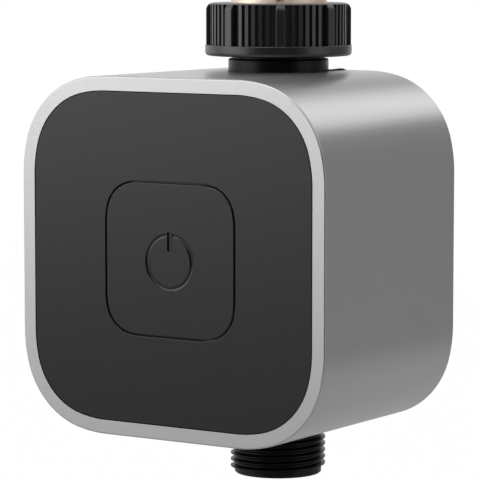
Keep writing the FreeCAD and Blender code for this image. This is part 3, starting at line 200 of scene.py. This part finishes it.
# Grain is in noise cells per metre, depth is the depth of that grain, and vary is the share by
# which the colour goes up and down. What is left out is as moulded or metal has it.
FRONT_BLACK = dict(colour=(0.003, 0.003, 0.0032), roughness=0.26, grain=4000, depth=2e-6,
                   vary=0.05, specular=0.38, polish=0.14)
MOULDED = {
    "panel_black": FRONT_BLACK,
    "button_black": FRONT_BLACK,
    "housing_black": dict(colour=(0.012, 0.012, 0.013), roughness=0.5),
    "nut_black": dict(colour=(0.006, 0.006, 0.0065), roughness=0.34, grain=1800, specular=0.7),
    "valve_nylon": dict(colour=(0.002, 0.002, 0.0022), roughness=0.34, grain=1500,
                        specular=0.18),
    "chassis_grey": dict(colour=(0.1, 0.105, 0.115), roughness=0.5),
    "tray_grey": dict(colour=(0.2, 0.21, 0.23), roughness=0.5),
    "seal_black": dict(colour=(0.015, 0.015, 0.015), roughness=0.7, grain=1200, depth=1e-5,
                       sheen=0.2),
    "seal_grey": dict(colour=(0.2, 0.205, 0.205), roughness=0.65, grain=1200, depth=1e-5,
                      sheen=0.2),
    "bobbin_white": dict(colour=(0.6, 0.6, 0.56), roughness=0.35),
    "board_green": dict(colour=(0.01, 0.09, 0.04), roughness=0.3, grain=400, depth=2e-5,
                        vary=0.25),
    "switch_black": dict(colour=(0.004, 0.004, 0.0044), roughness=0.4, specular=0.2),
    "cell_skin": dict(colour=(0.05, 0.075, 0.11), roughness=0.25, grain=300, depth=1e-5,
                      vary=0.15),
}
METALS = {
    "sleeve_metal": dict(colour=(0.42, 0.42, 0.425), roughness=0.32, grain=5000, depth=1.2e-6,
                         vary=0.02),
    "brass": dict(colour=(0.81, 0.69, 0.57), roughness=0.52, grain=900, depth=3e-6, vary=0.03,
                  stretch=(1, 1, 12)),
    "steel": dict(colour=(0.55, 0.55, 0.56), roughness=0.3, grain=1500, depth=3e-6),
    "spring_steel": dict(colour=(0.6, 0.6, 0.61), roughness=0.25),
    "contact_nickel": dict(colour=(0.62, 0.59, 0.53), roughness=0.25),
    "copper": dict(colour=(0.6, 0.25, 0.12), roughness=0.3, grain=60, depth=4e-5, vary=0.12,
                   stretch=(1, 90, 1)),
    "can_silver": dict(colour=(0.62, 0.62, 0.63), roughness=0.28, vary=0.04),
    "magnet_grey": dict(colour=(0.3, 0.3, 0.31), roughness=0.3),
}
MATS = {name: moulded(name, **looks) for name, looks in MOULDED.items()}
MATS.update({name: metal(name, **looks) for name, looks in METALS.items()})

for entry in frame["record"]["subparts"]:
    node = frame["nodes"][entry["node"]]
    node.data.materials.clear()
    node.data.materials.append(MATS[entry["material_slot"]])


# Meshes

def add_mesh(name, points, faces, material=None):
    """A new object in the scene, made of these points and faces."""
    mesh = bpy.data.meshes.new(name)
    mesh.from_pydata(points, [], faces)
    if material:
        mesh.materials.append(material)
    obj = bpy.data.objects.new(name, mesh)
    scene.collection.objects.link(obj)
    return obj


def strip(here, there, count):
    """Quads between two closed rings of so many points, given by their first points."""
    quads = []
    for j in range(count):
        after = (j + 1) % count
        quads.append((here + j, here + after, there + after, there + j))
    return quads


def plate(name, width, height, material):
    """A flat rectangle in the XY plane, centred on the origin."""
    w, h = width / 2, height / 2
    corners = [(-w, -h, 0), (w, -h, 0), (w, h, 0), (-w, h, 0)]
    return add_mesh(name, corners, [(0, 1, 2, 3)], material)


def block(name, lows, highs):
    """A box between two corners."""
    corners = [
        (x, y, z) for x in (lows[0], highs[0]) for y in (lows[1], highs[1])
        for z in (lows[2], highs[2])
    ]
    sides = [(0, 1, 3, 2), (4, 6, 7, 5), (0, 4, 5, 1), (2, 3, 7, 6), (0, 2, 6, 4), (1, 5, 7, 3)]
    return add_mesh(name, corners, sides)


# Springs: wound with closed end turns, each riding on the body it is attached to

RING_POINTS = 10
TURN_POINTS = 48
CLOSED_TURNS = 0.8
# A closed turn rises by the wire's thickness and a little air, in radii of the wire
CLOSED_PITCH = 2.04


def wire_rise(turn, turns, wire, length):
    """How far the wire's centre has come along the axis after so many turns."""
    pitch = CLOSED_PITCH * wire
    if turn < CLOSED_TURNS:
        return pitch * turn
    if turn > turns - CLOSED_TURNS:
        return length - pitch * (turns - turn)
    share = (turn - CLOSED_TURNS) / (turns - 2 * CLOSED_TURNS)
    return pitch * CLOSED_TURNS + share * (length - 2 * pitch * CLOSED_TURNS)


def coil_spring(name, node, body, wire, turns):
    """A spring along Y in place of the node.

    The wire is given by its radius.
    """
    low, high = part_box(node)
    radius = high[0] - wire
    thickness = high[1] - low[1]
    points = []
    steps = round(turns * TURN_POINTS)
    for i in range(steps + 1):
        turn = i / TURN_POINTS
        angle = 2 * math.pi * turn
        middle = low[1] + wire + wire_rise(turn, turns, wire, thickness - 2 * wire)
        for j in range(RING_POINTS):
            around = 2 * math.pi * j / RING_POINTS
            reach = radius + wire * math.cos(around)
            points.append((
                reach * math.cos(angle),
                middle + wire * math.sin(around),
                CENTRE_Z + reach * math.sin(angle),
            ))
    last = len(points)
    faces = [tuple(reversed(range(RING_POINTS))), tuple(range(last - RING_POINTS, last))]
    for i in range(steps):
        faces += strip(i * RING_POINTS, (i + 1) * RING_POINTS, RING_POINTS)
    piece = add_mesh(name, points, faces, MATS["spring_steel"])
    piece.data.polygons.foreach_set("use_smooth", [len(face) == 4 for face in faces])
    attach(piece, body)
    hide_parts(node)
    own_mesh(piece)


coil_spring("button_coil", "button_spring", "front_unit",
            wire=0.0002, turns=3.6)
coil_spring("plunger_coil", "plunger_spring", "valve_unit",
            wire=0.00025, turns=5.6)
coil_spring("poppet_coil", "poppet_spring", "valve_unit",
            wire=0.0003, turns=4.6)


# Metal insert of the nut, with the inlet's G 1/2 thread cut in its bore

PITCH = 0.001814
CREST_RADIUS = 0.009316
ROOT_RADIUS = 0.010478
THREAD_ROWS = 16
TURN_COLUMNS = 128
SHARP_ANGLE = math.radians(40)

# Rise of a flank per pitch, where 1 is the whole depth, less what leaves crest and root flat
FLANK_SLOPE = 2.4
FLANK_OFFSET = 0.1

HOLE_RADIUS = 0.0066
WASHER_RADIUS = 0.00965
WASHER_FLOOR = -0.0015
EDGE_ROUND = 0.0004
EDGE_STEPS = 4

KEY_WIDTH = 0.0022
KEY_DEPTH = 0.0006
KEY_HEIGHT = 0.00115
KEY_DROP = 0.00015
KEY_AZIMUTH = math.radians(-56.0)
KEY_OVERCUT = 0.001


def smooth(share):
    """Smooth step from 0 to 1."""
    share = min(1.0, max(0.0, share))
    return share * share * (3 - 2 * share)


def thread_radius(level, turn, low, mouth):
    """Radius of the bore at a level; the thread runs out above low and below the mouth."""
    phase = (level / PITCH - turn) % 1.0
    profile = smooth((0.5 - abs(phase - 0.5)) * FLANK_SLOPE - FLANK_OFFSET)
    depth = (ROOT_RADIUS - CREST_RADIUS) * smooth((level - low) / PITCH)
    countersink = ROOT_RADIUS - (mouth - level)
    return max(CREST_RADIUS + depth * profile, countersink)


def insert_rows(outer, bottom, top):
    """Section of the insert, as rows of (radius, level), one for a whole row or one per column."""
    rows = [(HOLE_RADIUS, bottom), (outer - EDGE_ROUND, bottom), (outer, bottom + EDGE_ROUND)]
    for i in range(EDGE_STEPS + 1):
        lean = math.pi / 2 * i / EDGE_STEPS
        rows.append((
            outer - EDGE_ROUND + EDGE_ROUND * math.cos(lean),
            top - EDGE_ROUND + EDGE_ROUND * math.sin(lean),
        ))
    rows = [[row] for row in rows]
    step = PITCH / THREAD_ROWS
    for i in range(int((top - step) / step) + 1):
        level = top - i * step
        rows.append([
            (thread_radius(level, j / TURN_COLUMNS, step, top), level)
            for j in range(TURN_COLUMNS)
        ])
    rows += [[(CREST_RADIUS, 0.0)], [(WASHER_RADIUS, 0.0)]]
    rows += [[(WASHER_RADIUS, WASHER_FLOOR)], [(HOLE_RADIUS, WASHER_FLOOR)]]
    return rows


def cut_keyways(piece, outer, top):
    """Two narrow keyways in the outside of the insert, in line with a lug of the nut."""
    head = top - KEY_DROP
    for turn in (0, math.pi):
        tool = block("keyway", (outer - KEY_DEPTH, -KEY_WIDTH / 2, head - KEY_HEIGHT),
                     (outer + KEY_OVERCUT, KEY_WIDTH / 2, head))
        tool.rotation_euler[2] = KEY_AZIMUTH + turn
        cutter = piece.modifiers.new("keyway", "BOOLEAN")
        cutter.operation = "DIFFERENCE"
        cutter.solver = "EXACT"
        cutter.object = tool
        bpy.context.view_layer.update()
        shaped = piece.evaluated_get(bpy.context.evaluated_depsgraph_get())
        mesh = bpy.data.meshes.new_from_object(shaped)
        piece.modifiers.clear()
        piece.data = mesh
        bpy.data.objects.remove(tool)


def threaded_insert(name, node, body):
    """The insert in place of the node, as one surface turned about Z."""
    low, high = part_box(node)
    outer, bottom, top = high[0], low[2], high[2]
    rows = insert_rows(outer, bottom, top)
    points = []
    for row in rows:
        for j in range(TURN_COLUMNS):
            radius, level = row[j % len(row)]
            angle = 2 * math.pi * j / TURN_COLUMNS
            points.append((radius * math.cos(angle), radius * math.sin(angle), level))
    faces = []
    for i in range(len(rows)):
        following = (i + 1) % len(rows)
        faces += strip(i * TURN_COLUMNS, following * TURN_COLUMNS, TURN_COLUMNS)
    piece = add_mesh(name, points, faces, MATS["brass"])
    piece.data.polygons.foreach_set("use_smooth", [True] * len(faces))
    piece.data.set_sharp_from_angle(angle=SHARP_ANGLE)
    cut_keyways(piece, outer, top)
    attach(piece, body)
    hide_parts(node)


threaded_insert("threaded_insert", "inlet_reducer", "inlet_nut")


# Stage: floor, world, lights and reflector cards

# The point that lamps and cards face
HEART = Vector((0.0, -0.02, CENTRE_Z))

SKY_LIGHT = 0.7
FLOOR_SIZE = 6
FLOOR_DROP = 0.3
FLOOR_COLOUR = (0.93, 0.93, 0.93)
FLOOR_ROUGHNESS = 0.6
FLOOR_WHITE = 0.985
FLOOR_CARD_SIZE = 5
FLOOR_CARD_LIFT = 0.002
FLOOR_CARD_LEVEL = 0.545


def place_around(obj, azimuth, elevation, distance):
    """Put obj around the product, facing it; azimuth is in degrees from +X towards +Y."""
    turn, rise = math.radians(azimuth), math.radians(elevation)
    flat = math.cos(rise)
    way = Vector((flat * math.cos(turn), flat * math.sin(turn), math.sin(rise)))
    obj.location = HEART + way * distance
    obj.rotation_mode = "QUATERNION"
    obj.rotation_quaternion = (-way).to_track_quat("-Z", "Y")


def softbox(name, azimuth, elevation, distance, width, height, radiance):
    """A rectangular lamp, given by how bright it looks, where 1 is the white of the picture."""
    data = bpy.data.lights.new(name, "AREA")
    data.shape = "RECTANGLE"
    data.size = width
    data.size_y = height
    data.energy = radiance * math.pi * width * height
    obj = bpy.data.objects.new(name, data)
    scene.collection.objects.link(obj)
    place_around(obj, azimuth, elevation, distance)
    obj.visible_camera = False


def glow(name, level):
    """An even grey for a reflector card."""
    mat, _, bsdf = shader(name)
    bsdf.inputs["Base Color"].default_value = (0, 0, 0, 1)
    bsdf.inputs["Specular IOR Level"].default_value = 0
    bsdf.inputs["Emission Color"].default_value = (level, level, level, 1)
    bsdf.inputs["Emission Strength"].default_value = 1.0
    return mat


def only_in_reflections(obj):
    """Show obj in reflections alone, with no light or shadow of its own."""
    obj.visible_camera = False
    obj.visible_diffuse = False
    obj.visible_shadow = False
    obj.visible_transmission = False


def card(name, azimuth, elevation, distance, width, height, level):
    """A reflector card, given by its level, where 1 is the white of the picture."""
    obj = plate(name, width, height, glow(name, level))
    place_around(obj, azimuth, elevation, distance)
    only_in_reflections(obj)


def seen_directly(tree, share):
    """The given share for camera, glossy and transmission rays, and 0 for any other ray."""
    path = tree.nodes.new("ShaderNodeLightPath")
    total = path.outputs["Is Camera Ray"]
    for name in ("Is Glossy Ray", "Is Transmission Ray"):
        either = tree.nodes.new("ShaderNodeMath")
        either.operation = "MAXIMUM"
        tree.links.new(total, either.inputs[0])
        tree.links.new(path.outputs[name], either.inputs[1])
        total = either.outputs["Value"]
    part = tree.nodes.new("ShaderNodeMath")
    part.operation = "MULTIPLY"
    part.inputs[1].default_value = share
    tree.links.new(total, part.inputs[0])
    return part.outputs["Value"]


def whiten(tree, surface, white, output_node, share=1.0):
    """Mix the surface with plain white where it is seen directly or in a reflection."""
    mix = tree.nodes.new("ShaderNodeMixShader")
    tree.links.new(seen_directly(tree, share), mix.inputs["Fac"])
    tree.links.new(surface, mix.inputs[1])
    tree.links.new(white, mix.inputs[2])
    tree.links.new(mix.outputs["Shader"], output_node.inputs["Surface"])


def make_world():
    """Plain world: white where it is seen, and a softer white as a light."""
    world = bpy.data.worlds.new("studio")
    scene.world = world
    world.use_nodes = True
    tree = world.node_tree
    sky = tree.nodes["Background"]
    sky.inputs["Color"].default_value = (1, 1, 1, 1)
    sky.inputs["Strength"].default_value = SKY_LIGHT
    white = tree.nodes.new("ShaderNodeBackground")
    white.inputs["Color"].default_value = (1, 1, 1, 1)
    white.inputs["Strength"].default_value = 1.0
    output = tree.nodes["World Output"]
    whiten(tree, sky.outputs["Background"], white.outputs["Background"], output)


def make_floor():
    """White floor under the hanging product; a little of its own shade keeps the shadow."""
    mat, tree, bsdf = shader("floor")
    coords = tree.nodes.new("ShaderNodeTexCoord")
    broad = noise(tree, coords, scale=3, detail=2.0)
    tree.links.new(tint(tree, broad, FLOOR_COLOUR, vary=0.01), bsdf.inputs["Base Color"])
    bsdf.inputs["Roughness"].default_value = FLOOR_ROUGHNESS
    white = tree.nodes.new("ShaderNodeEmission")
    white.inputs["Strength"].default_value = 1.0
    output = tree.nodes["Material Output"]
    whiten(tree, bsdf.outputs["BSDF"], white.outputs["Emission"], output, FLOOR_WHITE)
    floor = plate("floor", FLOOR_SIZE, FLOOR_SIZE, mat)
    floor.location = (0, 0, cad_box[0].z - FLOOR_DROP)
    grey = plate("floor_card", FLOOR_CARD_SIZE, FLOOR_CARD_SIZE,
                 glow("floor_card", FLOOR_CARD_LEVEL))
    grey.location = floor.location + Vector((0, 0, FLOOR_CARD_LIFT))
    only_in_reflections(grey)


make_world()
make_floor()
softbox("key", azimuth=-133.8, elevation=16.3, distance=1.6,
        width=1.19, height=1.17, radiance=1.6)
softbox("back_top", azimuth=77.6, elevation=36.7, distance=1.5,
        width=0.6, height=0.71, radiance=0.74)
softbox("overhead", azimuth=-105, elevation=66, distance=1.4,
        width=0.8, height=0.55, radiance=3.5)
card("side_card", azimuth=55, elevation=4, distance=1.3,
     width=1.56, height=1.0, level=0.368)
card("back_card", azimuth=113.8, elevation=30.5, distance=1.45,
     width=0.6, height=0.47, level=0.54)
card("front_card", azimuth=-45, elevation=0, distance=1.2,
     width=1.6, height=1.2, level=0.04)
card("front_card_left", azimuth=-91, elevation=0, distance=1.3,
     width=0.62, height=1.2, level=0.04)


# Camera: the photograph's place and pitch, with no shift

CAMERA_PLACE = Vector((0.42395, -0.66716, 0.02162))
CAMERA_RIGHT = Vector((0.83672, 0.54762, 0.0))
CAMERA_AHEAD = Vector((-0.54477, 0.83236, -0.10196))

camera_data = bpy.data.cameras.new("camera")
camera_data.sensor_width = 36.0
camera_data.lens = 214.43
camera_data.clip_start = 0.05
camera_data.clip_end = 20.0
camera = bpy.data.objects.new("camera", camera_data)
scene.collection.objects.link(camera)
axes = Matrix((CAMERA_RIGHT, CAMERA_RIGHT.cross(CAMERA_AHEAD), -CAMERA_AHEAD)).transposed()
camera.matrix_world = Matrix.Translation(CAMERA_PLACE) @ axes.to_4x4()
scene.camera = camera

scene.view_settings.view_transform = "Standard"
